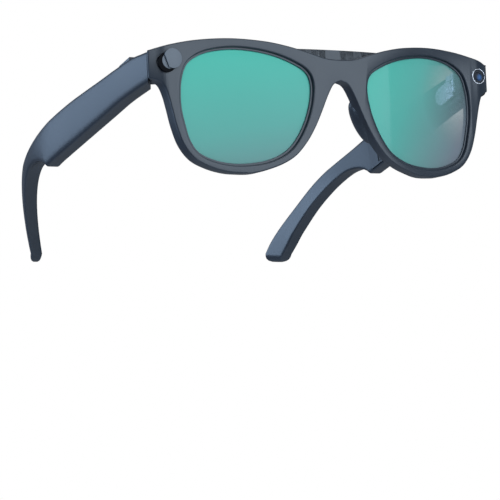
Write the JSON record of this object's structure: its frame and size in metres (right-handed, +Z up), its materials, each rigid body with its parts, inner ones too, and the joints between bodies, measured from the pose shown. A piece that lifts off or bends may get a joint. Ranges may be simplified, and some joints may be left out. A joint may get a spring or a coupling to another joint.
{
  "type": "smart glasses",
  "caption": "Smart glasses with a wrapped satin plastic front, green lenses, corner cameras, a sliding camera cover and folding temples.",
  "frame": {"origin": "under the middle of the bounding box, on the surface that the rims and the ear tips rest on", "axes": "+Z up, -Y the way the lenses face, +X to the wearer's left"},
  "size_m": [0.1494, 0.1536, 0.048],
  "materials": {
    "satin_navy_plastic": "satin moulded plastic, very dark navy",
    "green_lens": "tinted lens with a green mirror coat",
    "black_plastic": "fine matt black plastic",
    "camera_glass": "blue-black polished camera window",
    "polished_steel": "polished trim",
    "brushed_steel": "brushed hinge steel",
    "gold_contact": "gold plated contact",
    "circuit_board": "solder mask green",
    "battery_pouch": "dull foil pouch"
  },
  "bodies": {
    "front": {"front_frame": "satin_navy_plastic", "lens_right": "green_lens", "lens_left": "green_lens", "cover_body": "black_plastic", "camera_barrel_left": "black_plastic", "camera_barrel_right": "black_plastic", "camera_window_left": "camera_glass", "camera_window_right": "camera_glass", "camera_trim_ring_left": "polished_steel", "camera_trim_ring_right": "polished_steel", "bridge_microphone": "brushed_steel", "hinge_plate_left": "brushed_steel", "hinge_plate_right": "brushed_steel", "hinge_pin_left": "brushed_steel", "hinge_pin_right": "brushed_steel", "hinge_screw_upper_left": "brushed_steel", "hinge_screw_upper_right": "brushed_steel", "hinge_screw_lower_left": "brushed_steel", "hinge_screw_lower_right": "brushed_steel", "charge_contact_left": "gold_contact", "charge_contact_right": "gold_contact", "camera_sensor_left": "circuit_board", "camera_sensor_right": "circuit_board"},
    "temple_right": {"temple_shell_right": "satin_navy_plastic", "temple_cover_right": "satin_navy_plastic", "hinge_leaf_right": "brushed_steel", "button_switch": "brushed_steel", "main_board": "circuit_board", "processor_shield": "brushed_steel", "touch_sensor": "gold_contact", "speaker_right": "black_plastic", "speaker_grille_right": "brushed_steel", "microphone_right": "brushed_steel"},
    "temple_left": {"temple_shell_left": "satin_navy_plastic", "temple_cover_left": "satin_navy_plastic", "hinge_leaf_left": "brushed_steel", "power_switch_body": "brushed_steel", "battery_board": "circuit_board", "battery": "battery_pouch", "speaker_left": "black_plastic", "speaker_grille_left": "brushed_steel", "microphone_left": "brushed_steel"},
    "cover_slider": {"cover_slider": "black_plastic"},
    "capture_button": {"capture_button": "satin_navy_plastic"},
    "power_switch": {"power_switch": "black_plastic"}
  },
  "joints": [
    {"name": "left_temple_fold", "type": "hinge", "parent": "front", "child": "temple_left", "pos_m": [0.0634, -0.05616, 0.03987], "axis": [0, -0.1495, 0.9888], "range_deg": [0, 90]},
    {"name": "right_temple_fold", "type": "hinge", "parent": "front", "child": "temple_right", "pos_m": [-0.0634, -0.05616, 0.03987], "axis": [0, 0.1495, -0.9888], "range_deg": [0, 80]},
    {"name": "cover_slide", "type": "slide", "parent": "front", "child": "cover_slider", "axis": [-0.8192, 0.0858, -0.5671], "range_m": [0, 0.0024]},
    {"name": "capture_button_press", "type": "slide", "parent": "temple_right", "child": "capture_button", "axis": [0.0107, -0.1199, -0.9927], "range_m": [0, 0.0004], "stiffness_N_per_m": 500, "springref_m": -0.0004},
    {"name": "power_switch_slide", "type": "slide", "parent": "temple_left", "child": "power_switch", "axis": [0.0387, 0.992, -0.1203], "range_m": [0, 0.0022]}
  ]
}
